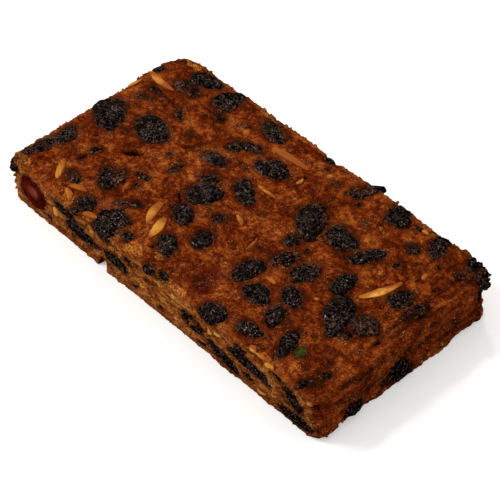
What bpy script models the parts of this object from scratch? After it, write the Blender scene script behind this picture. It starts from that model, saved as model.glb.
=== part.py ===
"""A slice of dark fruit cake, cut from a slab that was baked in a shallow tin.

One block of cake holds raisins, glace cherries, candied peel and slivered almonds, each in a
pocket of its own. The two long sides and the left end are knife cuts, which also cut the fruit
that lies across them. The right end is the baked edge that stood against the tin.

Units are metres. +Z is up, +X runs along the slice to its baked end, and -Y is the cut side
that shows the cherry. The origin is the middle of the base.
"""

import math

import bmesh
import bpy
from mathutils import Matrix, Vector, noise

MM = 0.001

# Driving sizes of the slice.
LENGTH = 140 * MM
WIDTH = 75 * MM
THICKNESS = 17 * MM

# The mesh has a station about every FACET along and across the slice.
FACET = 9.5 * MM
EDGE_BAND = 1.6 * MM

# Plan radius of each upright corner, as (side along X, side along Y, radius).
CORNERS = (
    (-1, 1, 9 * MM),
    (-1, -1, 4 * MM),
    (1, 1, 5 * MM),
    (1, -1, 2.5 * MM),
)

# Unevenness: how far a surface strays, and over what distance.
SWELL_HEIGHT, SWELL_SPACING = 0.9 * MM, 19 * MM
CUT_WANDER, CUT_SPACING = 0.7 * MM, 13 * MM
TIN_WANDER, TIN_SPACING = 1.6 * MM, 11 * MM

# How far the baked end stands out from the nominal end at each height: a spread foot, a hollow
# wall, a crease under the crust and the rolled lip of the crust itself.
BAKED_END = (
    (0.0 * MM, 1.4 * MM),
    (2.5 * MM, 1.8 * MM),
    (7.0 * MM, 0.4 * MM),
    (11.5 * MM, 0.2 * MM),
    (13.2 * MM, -1.2 * MM),
    (14.6 * MM, 1.0 * MM),
    (16.0 * MM, 0.4 * MM),
    (17.0 * MM, -1.8 * MM),
)

# Fruit and its pocket.
POCKET_GAP = 0.38 * MM
RAISIN_PROUD = 0.9 * MM
ALMOND_PROUD = 0.5 * MM
ALMOND_THICKNESS = 2.2 * MM

# Raisins that show on the top, in millimetres and degrees: x, y, length, width, turn.
TOP_RAISINS = (
    (-53.5, 33.6, 12.0, 6.5, 15),
    (-55.0, 26.4, 11.0, 6.0, 0),
    (-40.5, 32.0, 13.0, 10.0, 70),
    (-19.5, 33.0, 13.5, 7.0, -18),
    (-47.8, 4.7, 15.5, 10.5, -10),
    (-63.0, -1.0, 16.5, 11.0, -50),
    (-7.3, 20.3, 14.5, 9.5, 5),
    (-23.5, 9.7, 11.0, 5.0, 5),
    (-6.0, 6.5, 12.5, 6.0, -30),
    (-14.5, -3.0, 12.0, 9.5, 65),
    (-12.0, -14.4, 10.0, 7.0, -35),
    (0.2, -17.0, 8.5, 7.0, 90),
    (-65.0, -17.0, 10.5, 6.0, -75),
    (-40.3, -19.8, 11.5, 8.5, -55),
    (-37.2, -32.4, 8.5, 7.5, -20),
    (-24.8, -32.0, 13.0, 11.0, -50),
    (-5.4, -26.9, 9.5, 6.0, -35),
    (34.3, 33.6, 10.0, 8.0, -20),
    (52.5, 33.0, 10.0, 7.0, -70),
    (16.5, 13.7, 18.0, 10.0, -57),
    (29.6, 14.7, 13.0, 9.0, -5),
    (40.3, 14.0, 11.5, 5.5, 65),
    (59.5, 9.2, 9.0, 6.5, 80),
    (65.6, 8.7, 8.5, 3.4, 80),
    (23.6, -4.2, 10.5, 6.0, 70),
    (32.0, -3.8, 10.5, 7.0, 80),
    (42.8, 0.8, 10.5, 6.5, 80),
    (51.2, -9.8, 14.5, 9.0, -60),
    (60.5, -4.6, 9.0, 7.0, 10),
    (19.0, -16.3, 13.0, 7.0, 75),
    (28.2, -20.8, 11.0, 8.5, -10),
    (36.4, -13.8, 9.5, 6.5, -35),
    (38.2, -22.7, 8.5, 5.5, -60),
    (48.6, -27.4, 11.0, 5.5, -75),
    (37.2, -32.0, 10.0, 5.2, 10),
    (24.5, -35.2, 8.5, 7.0, 30),
)

# Raisins cut through on the -Y side: x, height of the middle, length, depth of the cut face, tilt.
CUT_RAISINS = (
    (-35.0, 7.6, 13.0, 4.0, 3),
    (-42.0, 11.9, 10.5, 2.8, 5),
    (-17.7, 7.7, 10.5, 4.4, 3),
    (17.6, 8.3, 9.5, 4.6, 12),
    (31.2, 4.1, 14.0, 3.4, 13),
    (42.0, 10.2, 15.0, 4.2, 2),
    (60.8, 10.4, 8.5, 4.4, 35),
    (62.0, 2.9, 14.0, 3.2, -2),
)

# Whole raisins at the rim, which the knife pushed out and never cut:
# x, y, height of the middle, length, width, thickness, turn, tilt.
RIM_RAISINS = (
    (19.5, 34.4, 15.6, 13.0, 6.0, 4.4, 60, 0),
    (67.2, 35.2, 15.4, 8.5, 5.5, 4.6, -40, 0),
    (-68.0, -36.2, 13.8, 9.0, 5.0, 5.0, 20, -50),
    (70.0, -22.5, 3.2, 4.6, 9.0, 3.6, 0, 0),
    (69.6, -2.6, 4.0, 4.6, 7.0, 5.4, 0, 0),
)

# Slivers of almond lying in the skin: x, y, length, width, turn.
TOP_ALMONDS = (
    (53.2, 7.0, 14.5, 3.6, 70),
    (-12.8, -24.3, 9.5, 3.6, -72),
    (-19.0, -21.0, 10.5, 3.2, -68),
    (-6.5, 27.2, 15.0, 3.2, 4),
    (-63.6, 21.8, 12.5, 3.0, -4),
    (46.4, -36.4, 10.5, 4.0, -6),
)

# The cherry that the knife halved, the one under the skin, and the scrap of green candied peel:
# x, y, height of the middle, and the size along X, Y and Z.
CHERRY_HALF = (-58.5, -37.5, 8.7, 13.6, 14.0, 13.2)
CHERRY_SUNK = (13.2, -28.2, 14.9, 8.4, 8.0, 5.0)
PEEL = (54.4, -26.0, 16.0, 4.2, 4.6, 3.4)

# Crumbs lost from the foot: x, y, height of the middle, and the size along X, Y and Z.
LOST_CRUMBS = (
    (-24.6, -37.5, 0.6, 3.4, 9.0, 8.0),
    (71.0, -29.5, 0.0, 8.0, 6.5, 5.0),
)

COLOURS = {
    "cake": ((0.19, 0.075, 0.028, 1), 0.55),
    "raisin": ((0.012, 0.009, 0.009, 1), 0.45),
    "almond": ((0.52, 0.25, 0.07, 1), 0.5),
    "cherry": ((0.20, 0.010, 0.006, 1), 0.25),
    "peel": ((0.055, 0.070, 0.010, 1), 0.35),
}


def clear_scene():
    for obj in list(bpy.data.objects):
        bpy.data.objects.remove(obj, do_unlink=True)


def material(kind):
    """The finish of one kind of piece, made once and shared by every piece of that kind."""
    found = bpy.data.materials.get(kind)
    if found:
        return found
    colour, roughness = COLOURS[kind]
    made = bpy.data.materials.new(kind)
    made.use_nodes = True
    surface = made.node_tree.nodes["Principled BSDF"]
    surface.inputs["Base Color"].default_value = colour
    surface.inputs["Roughness"].default_value = roughness
    surface.inputs["Metallic"].default_value = 0
    return made


def new_object(name, bm, kind):
    mesh = bpy.data.meshes.new(name)
    bmesh.ops.recalc_face_normals(bm, faces=bm.faces)
    bm.to_mesh(mesh)
    bm.free()
    mesh.materials.append(material(kind))
    obj = bpy.data.objects.new(name, mesh)
    bpy.context.scene.collection.objects.link(obj)
    return obj


def between(value, rows):
    """Reads a height-to-outset table at one height, in straight lines between its rows."""
    for (low, first), (high, second) in zip(rows, rows[1:]):
        if value <= high:
            share = max(0.0, (value - low) / (high - low))
            return first + (second - first) * share
    return rows[-1][1]


# ---- The cake


def stations(span, facet):
    """Even stations across a span, with one more a band in from each end."""
    half = span / 2
    inner = half - EDGE_BAND
    count = math.ceil(2 * inner / facet)
    return [-inner + 2 * inner * i / count for i in range(count + 1)]


def rounded_plan(x, y):
    """Moves a point of the rectangular plan so that each corner has its own radius."""
    for side_x, side_y, radius in CORNERS:
        in_x = x * side_x - (LENGTH / 2 - radius)
        in_y = y * side_y - (WIDTH / 2 - radius)
        if in_x > 0 and in_y > 0:
            pull = max(in_x, in_y) / math.hypot(in_x, in_y)
            x = side_x * (LENGTH / 2 - radius + in_x * pull)
            y = side_y * (WIDTH / 2 - radius + in_y * pull)
    return x, y


def skin_height(x, y):
    """Height of the baked top: level, with low swells over the fruit beneath."""
    return THICKNESS + SWELL_HEIGHT * noise.noise(Vector((x, y, 0)) / SWELL_SPACING)


def cake_point(point):
    """Where a point of the plain block lies on the real slice."""
    x, y, z = point
    level = z / THICKNESS
    baked = max(0.0, (x - LENGTH / 2 + 3 * EDGE_BAND) / (3 * EDGE_BAND))
    at_cut_side = abs(y) > WIDTH / 2 - EDGE_BAND / 2
    at_left_end = x < -LENGTH / 2 + EDGE_BAND / 2
    top_rim = level > 0.999 and (at_cut_side or at_left_end)
    along, across = rounded_plan(x, y)
    wander = CUT_WANDER * noise.noise(Vector((along, across, z)) / CUT_SPACING)
    if at_cut_side:
        across += math.copysign(wander, y)
    if at_left_end:
        along -= wander
    if baked > 0:
        tin = TIN_WANDER * noise.noise(Vector((3, across, 2 * z)) / TIN_SPACING)
        along += baked * (between(z, BAKED_END) + tin)
    z = level * skin_height(along, across)
    if top_rim:
        z -= 0.5 * MM
    return Vector((along, across, z))


def cake_block():
    """The block of cake before its pockets: a box with stations cut into it, then shaped."""
    bm = bmesh.new()
    bmesh.ops.create_cube(bm, size=1)
    size = Matrix.Diagonal((LENGTH, WIDTH, THICKNESS, 1))
    bmesh.ops.transform(bm, matrix=Matrix.Translation((0, 0, THICKNESS / 2)) @ size, verts=bm.verts)
    end = LENGTH / 2
    planes = [(Vector((x, 0, 0)), Vector((1, 0, 0))) for x in stations(LENGTH, FACET)]
    planes += [(Vector((end - 2 * EDGE_BAND, 0, 0)), Vector((1, 0, 0)))]
    planes += [(Vector((0, y, 0)), Vector((0, 1, 0))) for y in stations(WIDTH, FACET)]
    planes += [(Vector((0, 0, z)), Vector((0, 0, 1))) for z, _ in BAKED_END[1:-1]]
    for place, normal in planes:
        everything = bm.verts[:] + bm.edges[:] + bm.faces[:]
        bmesh.ops.bisect_plane(bm, geom=everything, plane_co=place, plane_no=normal, dist=1e-6)
    for vert in bm.verts:
        vert.co = cake_point(vert.co)
    base = [face for face in bm.faces if max(v.co.z for v in face.verts) < 1e-6]
    bmesh.ops.dissolve_faces(bm, faces=base, use_verts=False)
    return new_object("cake", bm, "cake")


# ---- Fruit


def fruit_shape(size, seed, taper, lumps):
    """A plump closed form: a ball pressed flat, fuller towards one end and lumpy."""
    bm = bmesh.new()
    bmesh.ops.create_uvsphere(bm, u_segments=10, v_segments=4, radius=1)
    for vert in bm.verts:
        ball = vert.co.copy()
        round_out = max(0.15, math.hypot(ball.x, ball.y)) ** -0.2
        lump = 1 + lumps * noise.noise(ball * 1.3 + Vector((7.3 * seed, 1.7 * seed, 0)))
        narrow = 1 - taper * ball.x
        vert.co.x = ball.x * round_out * lump * size[0] / 2
        vert.co.y = ball.y * round_out * lump * narrow * size[1] / 2
        vert.co.z = ball.z * lump * size[2] / 2
    return bm


def almond_shape(length, width):
    """A sliver: a flat-sided stick that narrows to blunt ends."""
    bm = bmesh.new()
    bmesh.ops.create_cube(bm, size=2)
    for share in (-0.8, -0.45, 0, 0.45, 0.8):
        everything = bm.verts[:] + bm.edges[:] + bm.faces[:]
        place = Vector((share, 0, 0))
        bmesh.ops.bisect_plane(bm, geom=everything, plane_co=place, plane_no=(1, 0, 0), dist=1e-6)
    for vert in bm.verts:
        reach = vert.co.x
        narrow = max(0.35, (1 - abs(reach) ** 2.2) ** 0.5) if abs(reach) < 1 else 0.3
        vert.co.x = reach * length / 2
        vert.co.y = (vert.co.y * narrow + 0.25 * reach * reach) * width / 2
        vert.co.z = vert.co.z * (0.5 + 0.5 * narrow) * ALMOND_THICKNESS / 2
    return bm


def placed(bm, centre, turn, tilt=0.0):
    """Turns a piece about the upright, tilts it about its own short side and sets it in place."""
    turned = Matrix.Rotation(math.radians(turn), 4, "Z") @ Matrix.Rotation(math.radians(tilt), 4, "Y")
    bmesh.ops.transform(bm, matrix=Matrix.Translation(centre) @ turned, verts=bm.verts)
    return bm


def pocket_cutter(name, bm):
    """The same shape grown by the pocket's gap, as a hidden cutter."""
    grown = bm.copy()
    grown.normal_update()
    for vert, normal in [(v, v.normal.copy()) for v in grown.verts]:
        vert.co += normal * POCKET_GAP
    cutter = new_object(name + ".pocket", grown, "cake")
    cutter.hide_render = True
    cutter.display_type = "WIRE"
    POCKETS.objects.link(cutter)
    bpy.context.scene.collection.objects.unlink(cutter)


def knife_cut(bm):
    """Takes off what lies outside the three cut sides and closes the cuts."""
    knives = (
        (Vector((0, -WIDTH / 2, 0)), Vector((0, -1, 0))),
        (Vector((0, WIDTH / 2, 0)), Vector((0, 1, 0))),
        (Vector((-LENGTH / 2, 0, 0)), Vector((-1, 0, 0))),
    )
    for place, outwards in knives:
        everything = bm.verts[:] + bm.edges[:] + bm.faces[:]
        bmesh.ops.bisect_plane(
            bm, geom=everything, plane_co=place, plane_no=outwards, clear_outer=True, dist=1e-6
        )
        bmesh.ops.holes_fill(bm, edges=bm.edges, sides=0)


def bed(name, bm, kind, cut=True):
    """Makes a piece of fruit a solid of its own, with a pocket for it in the cake."""
    bmesh.ops.triangulate(bm, faces=bm.faces)
    pocket_cutter(name, bm)
    if cut:
        knife_cut(bm)
    return new_object(name, bm, kind)


def raisin_thickness(width):
    return 1.4 * MM + 0.4 * width


def add_raisins():
    number = 0
    for x, y, length, width, turn in TOP_RAISINS:
        number += 1
        thick = raisin_thickness(width * MM)
        shape = fruit_shape((length * MM, width * MM, thick), number, taper=0.16, lumps=0.16)
        height = skin_height(x * MM, y * MM) + RAISIN_PROUD - thick / 2
        bed(f"raisin_{number:02d}", placed(shape, (x * MM, y * MM, height), turn), "raisin")
    for x, height, length, face, tilt in CUT_RAISINS:
        number += 1
        shape = fruit_shape((length * MM, 8 * MM, face * MM), number, taper=0.0, lumps=0.10)
        bed(f"raisin_{number:02d}", placed(shape, (x * MM, -WIDTH / 2, height * MM), 0, tilt), "raisin")
    for x, y, height, length, width, thick, turn, tilt in RIM_RAISINS:
        number += 1
        shape = fruit_shape((length * MM, width * MM, thick * MM), number, taper=0.16, lumps=0.16)
        centre = (x * MM, y * MM, height * MM)
        bed(f"raisin_{number:02d}", placed(shape, centre, turn, tilt), "raisin", cut=False)


def add_almonds():
    for number, (x, y, length, width, turn) in enumerate(TOP_ALMONDS, 1):
        height = skin_height(x * MM, y * MM) + ALMOND_PROUD - ALMOND_THICKNESS / 2
        shape = almond_shape(length * MM, width * MM)
        bed(f"almond_{number:02d}", placed(shape, (x * MM, y * MM, height), turn), "almond")


def add_candied_fruit():
    pieces = (
        ("cherry_half", "cherry", CHERRY_HALF, 0.04),
        ("cherry_sunk", "cherry", CHERRY_SUNK, 0.10),
        ("peel_green", "peel", PEEL, 0.25),
    )
    for seed, (name, kind, (x, y, z, *size), lumps) in enumerate(pieces, 61):
        shape = fruit_shape([side * MM for side in size], seed, taper=0.0, lumps=lumps)
        bed(name, placed(shape, (x * MM, y * MM, z * MM), 0), kind)


def add_lost_crumbs():
    for number, (x, y, z, *size) in enumerate(LOST_CRUMBS, 1):
        shape = fruit_shape([side * MM for side in size], number, taper=0.0, lumps=0.3)
        pocket_cutter(f"lost_crumb_{number}", placed(shape, (x * MM, y * MM, z * MM), 0, 25))


def centre_on_base():
    """Moves every mesh by the same step, so that the slice stands centred on the origin."""
    bpy.context.view_layer.update()
    shown = [obj for obj in bpy.data.objects if not obj.hide_render]
    corners = [vert.co for obj in shown for vert in obj.data.vertices]
    low = [min(co[axis] for co in corners) for axis in range(3)]
    high = [max(co[axis] for co in corners) for axis in range(3)]
    step = Vector((-(low[0] + high[0]) / 2, -(low[1] + high[1]) / 2, -low[2]))
    for obj in bpy.data.objects:
        obj.data.transform(Matrix.Translation(step))


clear_scene()
POCKETS = bpy.data.collections.new("pockets")
bpy.context.scene.collection.children.link(POCKETS)
cake = cake_block()
add_raisins()
add_almonds()
add_candied_fruit()
add_lost_crumbs()
centre_on_base()
pockets = cake.modifiers.new("pockets", "BOOLEAN")
pockets.operation = "DIFFERENCE"
pockets.operand_type = "COLLECTION"
pockets.collection = POCKETS
pockets.solver = "EXACT"
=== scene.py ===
import math
import random

import bpy
from mathutils import Matrix, Vector, noise
from mathutils.bvhtree import BVHTree


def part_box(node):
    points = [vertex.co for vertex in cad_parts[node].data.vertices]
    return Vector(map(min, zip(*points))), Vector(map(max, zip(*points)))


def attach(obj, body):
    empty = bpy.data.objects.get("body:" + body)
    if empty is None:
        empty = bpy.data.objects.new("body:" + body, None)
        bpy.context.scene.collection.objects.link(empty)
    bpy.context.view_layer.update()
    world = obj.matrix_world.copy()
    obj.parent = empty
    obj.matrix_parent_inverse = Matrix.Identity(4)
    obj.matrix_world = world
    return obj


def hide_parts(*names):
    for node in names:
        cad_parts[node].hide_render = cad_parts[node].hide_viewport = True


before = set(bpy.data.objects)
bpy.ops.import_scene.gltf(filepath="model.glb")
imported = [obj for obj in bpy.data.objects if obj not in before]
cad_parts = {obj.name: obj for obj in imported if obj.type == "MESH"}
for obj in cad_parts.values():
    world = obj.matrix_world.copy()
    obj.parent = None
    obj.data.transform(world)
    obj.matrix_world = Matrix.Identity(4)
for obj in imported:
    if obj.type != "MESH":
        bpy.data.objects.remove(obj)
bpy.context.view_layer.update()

MM = 0.001


# ---- Raisins
# Large dark vine fruit, soaked and then baked into the slice. Their skin has dried into meandering
# folds, and a film of batter still lies over some of them. Those on a cut side show a flat face.

RAISIN_GROWTH = 0.22 * MM
# How full a raisin's shoulders are, and how low and wide it settled in the batter.
SHOULDER, SETTLE, SPREAD = 0.42, 0.81, 1.18
# The folds, creases, dents and lobes of the skin: spacing in millimetres, depth.
FOLD_SPACING, FOLD_DEPTH = 1.5, 0.30 * MM
CREASE_SPACING, CREASE_DEPTH = 0.7, 0.13 * MM
DENT_SPACING, DENT_DEPTH = 5.0, 0.55 * MM
LOBE_SPACING, LOBE_DEPTH = 3.9, 0.6 * MM
# A fold is a narrow valley where the noise passes through nought, between broad rounded ridges.
RIDGE_LEVEL, VALLEY_SLOPE = 0.45, 2.6
# How far the folds meander, and how much longer they run along a fruit than across it.
BEND, BEND_SPACING, SHORTENED = 0.8, 2.6, 0.48
CUT_WRINKLE, TORN_WRINKLE = 0.45, 2.4
# A fruit this close to a cut side was cut by the knife, unless it is thinner than the other.
REACHES_SIDE, THINNEST_CUT = 1.4 * MM, 2 * MM
# Batter lies on a fruit from this height over the skin downwards, in millimetres, and this thick.
FILM_LINE, FILM_FADE, LOW_FILM = 0.35, 0.6, 0.45

# The slice's own axes start a hair off the middle of its box, because fruit stands out of it.
SHIFT = Vector((-0.5 * MM, -0.53 * MM, 0))
TOP, HALF_LENGTH, HALF_WIDTH = 17 * MM, 70 * MM, 37.5 * MM

# The folds meander by noise vectors, which start from the clock unless they are given a seed.
noise.seed_set(1)


def skin_height(x, y):
    """Height of the baked top: level, with low swells over the fruit beneath."""
    return TOP + 0.9 * MM * noise.noise(Vector((x, y, 0)) / (19 * MM))


def copy_of_node(node, name):
    """A copy of a CAD node with its loose triangles joined into one skin, ready to shape."""
    bpy.ops.object.select_all(action="DESELECT")
    piece = bpy.data.objects.new(name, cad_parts[node].data.copy())
    bpy.context.scene.collection.objects.link(piece)
    piece.data.materials.clear()
    bpy.context.view_layer.objects.active = piece
    piece.select_set(True)
    bpy.ops.object.mode_set(mode="EDIT")
    bpy.ops.mesh.select_all(action="SELECT")
    bpy.ops.mesh.remove_doubles(threshold=1e-6)
    bpy.ops.mesh.customdata_custom_splitnormals_clear()
    bpy.ops.mesh.normals_make_consistent(inside=False)
    bpy.ops.mesh.select_all(action="DESELECT")
    bpy.ops.mesh.edges_select_sharp(sharpness=math.radians(58))
    bpy.ops.transform.edge_crease(value=0.85)
    bpy.ops.mesh.select_all(action="DESELECT")
    bpy.ops.object.mode_set(mode="OBJECT")
    return piece


def apply_modifier(piece, kind, **settings):
    """Adds a modifier with its settings and applies it at once."""
    bpy.ops.object.select_all(action="DESELECT")
    bpy.context.view_layer.objects.active = piece
    piece.select_set(True)
    modifier = piece.modifiers.new(kind.lower(), kind)
    for setting, value in settings.items():
        setattr(modifier, setting, value)
    bpy.ops.object.modifier_apply(modifier=modifier.name)


def middle(piece):
    """Half the size and the centre of a piece's own box."""
    low = Vector(min(v.co[axis] for v in piece.data.vertices) for axis in range(3))
    high = Vector(max(v.co[axis] for v in piece.data.vertices) for axis in range(3))
    return (high - low) / 2, (high + low) / 2


def fill_out(piece, shoulder, settle, spread):
    """Gives a fruit a flatter top and fuller shoulders, so that it shows at its full width."""
    half, centre = middle(piece)
    for vert in piece.data.vertices:
        off = vert.co - centre
        rise = min(1.0, abs(off.z) / half.z)
        if off.z > 0:
            off.z = half.z * settle * rise ** shoulder
        off.x *= spread
        off.y *= spread
        vert.co = centre + off


def grow(piece, distance):
    piece.data.update()
    moves = [vert.normal * distance for vert in piece.data.vertices]
    for vert, move in zip(piece.data.vertices, moves):
        vert.co += move


def hold_cut_faces(piece, node, reach):
    """Keeps a fruit that the knife went through flush with the cut side."""
    if node in RIM_NODES:
        return
    low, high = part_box(node)
    slice_low, slice_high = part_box("cake")
    at_front = low.y < slice_low.y + REACHES_SIDE and high.y - low.y > THINNEST_CUT
    at_back = high.y > slice_high.y - REACHES_SIDE
    at_left = low.x < slice_low.x + REACHES_SIDE
    for vert in piece.data.vertices:
        if at_front:
            vert.co.y = max(vert.co.y, low.y - reach)
        if at_back:
            vert.co.y = min(vert.co.y, high.y + reach)
        if at_left:
            vert.co.x = max(vert.co.x, low.x - reach)


def wrinkle(piece, seed, strength=1.0):
    """Draws the skin in along meandering folds, finer creases and a few broad dents."""
    piece.data.update()
    _, centre = middle(piece)
    spread = [(vert.co - centre) / MM for vert in piece.data.vertices]
    skew = 2 * sum(o.x * o.y for o in spread)
    lie = 0.5 * math.atan2(skew, sum(o.x ** 2 - o.y ** 2 for o in spread))
    along = Vector((math.cos(lie), math.sin(lie), 0))
    moves = []
    for vert in piece.data.vertices:
        # The folds run along the fruit, so its length counts for half as much as its width.
        at = vert.co / MM
        at += Vector((13.0 * seed, 5.0 * seed, 0)) - SHORTENED * along * at.dot(along)
        at += BEND * noise.noise_vector(at / BEND_SPACING)
        fold = RIDGE_LEVEL - min(1.0, abs(noise.noise(at / FOLD_SPACING)) * VALLEY_SLOPE)
        crease = RIDGE_LEVEL - min(1.0, abs(noise.noise(at / CREASE_SPACING)) * VALLEY_SLOPE)
        dent = min(0.0, noise.noise(at / DENT_SPACING)) * 2.0
        flank = math.hypot(vert.normal.x, vert.normal.y)
        lobe = noise.noise(at / LOBE_SPACING) * flank
        depth = (fold * FOLD_DEPTH + crease * CREASE_DEPTH) * (1 - 0.65 * flank)
        depth += dent * DENT_DEPTH + lobe * LOBE_DEPTH
        moves.append(vert.normal * depth * strength)
    for vert, move in zip(piece.data.vertices, moves):
        vert.co += move
    piece.data.update()


def batter_over(piece, share):
    """Marks how much batter lies on a fruit: a share all over, and all of it below the skin."""
    layer = piece.data.attributes.new("batter", "FLOAT", "POINT")
    for vert in piece.data.vertices:
        at = vert.co - SHIFT
        inside = min(HALF_WIDTH - abs(at.y), HALF_LENGTH - abs(at.x)) / MM
        proud = (at.z - skin_height(at.x, at.y)) / MM
        low = max(0.0, min(1.0, (FILM_LINE - proud) / FILM_FADE)) if inside > 0.6 else 0.0
        layer.data[vert.index].value = share + LOW_FILM * low


def linear(code):
    """Turns an sRGB hex colour into the linear colour that a shader takes."""
    parts = [int(code[i:i + 2], 16) / 255 for i in (1, 3, 5)]
    return [p / 12.92 if p <= 0.04045 else ((p + 0.055) / 1.055) ** 2.4 for p in parts] + [1.0]


def new_material(name):
    made = bpy.data.materials.new(name)
    made.use_nodes = True
    made.node_tree.nodes.clear()
    return made


def add_node(finish, kind, settings=None, **feeds):
    """Adds one node with its settings, and links what feeds its sockets. f_0 feeds socket 0.

    A feed is a socket, or a node whose first output is meant.
    """
    node = finish.node_tree.nodes.new("ShaderNode" + kind)
    for name, value in (settings or {}).items():
        if name == "stops":
            ramp = node.color_ramp
            while len(ramp.elements) < len(value):
                ramp.elements.new(0.5)
            for element, (place, code) in zip(ramp.elements, value):
                element.position = place
                element.color = linear(code)
        elif isinstance(name, int) or name in node.inputs:
            node.inputs[name].default_value = value
        else:
            setattr(node, name, value)
    for name, source in feeds.items():
        socket = int(name[2:]) if name.startswith("f_") else name.replace("_", " ")
        if isinstance(source, bpy.types.Node):
            source = source.outputs[0]
        finish.node_tree.links.new(node.inputs[socket], source)
    return node


# Dried grape skin: near black with a brown cast, satin where it is stretched over the folds,
# with pale threads painted along the high folds as highlights, and a thin brown film of batter in
# patches.
raisin_skin = new_material("dried grape skin")
place = add_node(raisin_skin, "TexCoord").outputs["Object"]
cover = add_node(raisin_skin, "Attribute", {"attribute_name": "batter"}).outputs["Fac"]
cloud = add_node(
    raisin_skin, "TexNoise", {"Scale": 1 / (3.0 * MM), "Detail": 5.0, "Roughness": 0.6}, Vector=place,
)
grain = add_node(
    raisin_skin, "TexNoise", {"Scale": 1 / (0.8 * MM), "Detail": 2.0, "Distortion": 0.8}, Vector=place,
)
tone = add_node(
    raisin_skin, "ValToRGB", {"stops": [(0.38, "#020101"), (0.54, "#090403"), (0.68, "#1A0D09")]},
    Fac=grain,
)
patch = add_node(raisin_skin, "Math", {"operation": "MULTIPLY_ADD", 1: 2.2}, f_0=cloud, f_2=cover)
film = add_node(
    raisin_skin, "MapRange",
    {
        "From Min": 1.34, "From Max": 1.66, "To Min": 0.0, "To Max": 0.86,
        "interpolation_type": "SMOOTHSTEP",
    },
    Value=patch,
)
batter_tone = add_node(
    raisin_skin, "ValToRGB", {"stops": [(0.34, "#1E0C04"), (0.52, "#3E1E0C"), (0.68, "#683A1C")]},
    Fac=grain,
)
skin = add_node(raisin_skin, "MixRGB", {}, Fac=film, Color1=tone, Color2=batter_tone)
# Short pale threads painted on the high folds stand in for highlights, and oil shines along them.
threads = add_node(
    raisin_skin, "TexNoise", {"Scale": 1 / (1.7 * MM), "Detail": 1.0, "Distortion": 1.8}, Vector=place,
)
off_fold = add_node(
    raisin_skin, "Math", {"operation": "ABSOLUTE"},
    f_0=add_node(raisin_skin, "Math", {"operation": "SUBTRACT", 1: 0.5}, f_0=threads),
)
ridge = add_node(
    raisin_skin, "MapRange",
    {
        "From Min": 0.0, "From Max": 0.085, "To Min": 1.0, "To Max": 0.0,
        "interpolation_type": "SMOOTHSTEP",
    },
    Value=off_fold,
)
glint_thread = add_node(
    raisin_skin, "MapRange", {"From Min": 0.008, "From Max": 0.042, "To Min": 1.0, "To Max": 0.0},
    Value=off_fold,
)
glint_dashes = add_node(
    raisin_skin, "MapRange", {"From Min": 0.44, "From Max": 0.54, "To Max": 0.55}, Value=grain,
)
glint_streaks = add_node(raisin_skin, "Math", {"operation": "MULTIPLY"}, f_0=glint_thread, f_1=glint_dashes)
glinted_skin = add_node(raisin_skin, "MixRGB", {"Color2": linear("#937468")}, Fac=glint_streaks, Color1=skin)
shine = add_node(raisin_skin, "MapRange", {"To Min": 0.34, "To Max": 0.55}, Value=cloud)
folded = add_node(raisin_skin, "Bump", {"Strength": 1.0, "Distance": 0.3 * MM}, Height=ridge)
relief = add_node(
    raisin_skin, "Bump", {"Strength": 1.0, "Distance": 0.16 * MM}, Height=grain, Normal=folded,
)
moist = add_node(
    raisin_skin, "MapRange", {"From Min": 0.4, "From Max": 0.56, "To Min": 0.45}, Value=cloud,
)
crest = add_node(
    raisin_skin, "MapRange", {"From Min": 0.46, "From Max": 0.58, "To Min": 0.04, "To Max": 0.8},
    Value=grain,
)
oil = add_node(raisin_skin, "Math", {"operation": "MULTIPLY"}, f_0=crest, f_1=moist)
surface = add_node(
    raisin_skin, "BsdfPrincipled", {"IOR": 1.45, "Specular IOR Level": 0.03, "Coat Roughness": 0.12},
    Base_Color=glinted_skin, Roughness=shine, Normal=relief, Coat_Weight=oil, Coat_Normal=relief,
)
add_node(raisin_skin, "OutputMaterial", {}, Surface=surface)

# How much of each partly buried raisin the batter hides, from 0 to 1.
BATTERED = {
    "raisin_02": 0.26, "raisin_04": 0.06, "raisin_06": 0.06, "raisin_08": 0.22, "raisin_12": 0.12,
    "raisin_13": 0.06, "raisin_14": 0.10, "raisin_19": 0.06, "raisin_21": 0.06, "raisin_22": 0.08,
    "raisin_24": 0.20, "raisin_25": 0.22, "raisin_27": 0.10, "raisin_28": 0.06, "raisin_29": 0.42,
    "raisin_33": 0.12, "raisin_35": 0.10, "raisin_36": 0.08,
}
RIM_NODES = ("raisin_45", "raisin_46", "raisin_47", "raisin_48", "raisin_49")
CUT_NODES = tuple(f"raisin_{number}" for number in range(37, 45))
# Fruit that stands higher, lies elsewhere or swelled more than its solid: shift in millimetres, swell.
SHIFTED = {
    "raisin_28": (0.0, 0.6, 0.7, 1.06), "raisin_29": (-1.2, -2.2, 0.35, 1.05),
    "raisin_05": (0, 0, 0.45, 1.05), "raisin_20": (0, 0, 0.3, 0.98), "raisin_06": (0, 0, 0.25, 1.05),
    "raisin_16": (0, 0, 0.3, 1.06), "raisin_10": (0, 0, 0.3, 1.08), "raisin_33": (0, 0, 0.25, 1.0),
    "raisin_21": (0, 0, 0.25, 1.05),
}
# Fruit torn at a rim: how wide, deep and tall it stays, then its shift along the slice, its rise
# and the reach of its spikes in millimetres.
TORN = {
    "raisin_46": (1.12, 1.10, 1.00, 0.0, 0.3, 3.6), "raisin_47": (0.80, 0.85, 0.80, 0.8, 0.6, 1.4),
    "raisin_48": (1.25, 1.20, 1.10, 0.0, 0.0, 0.7), "raisin_49": (1.40, 1.50, 1.20, 0.0, 0.0, 0.5),
}
SPIKE_SPACING, SPIKE_LEVEL = 1.5 * MM, 0.05
# Fruit that the knife went through spread out over the cut side.
CUT_LENGTH, CUT_HEIGHT = 1.16, 1.32
# The hollow of the one that the knife opened: its share of length and height, and its depth.
HOLLOW_WIDTH, HOLLOW_HEIGHT, HOLLOW_DEPTH = 0.62, 0.42, 1.9 * MM

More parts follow.
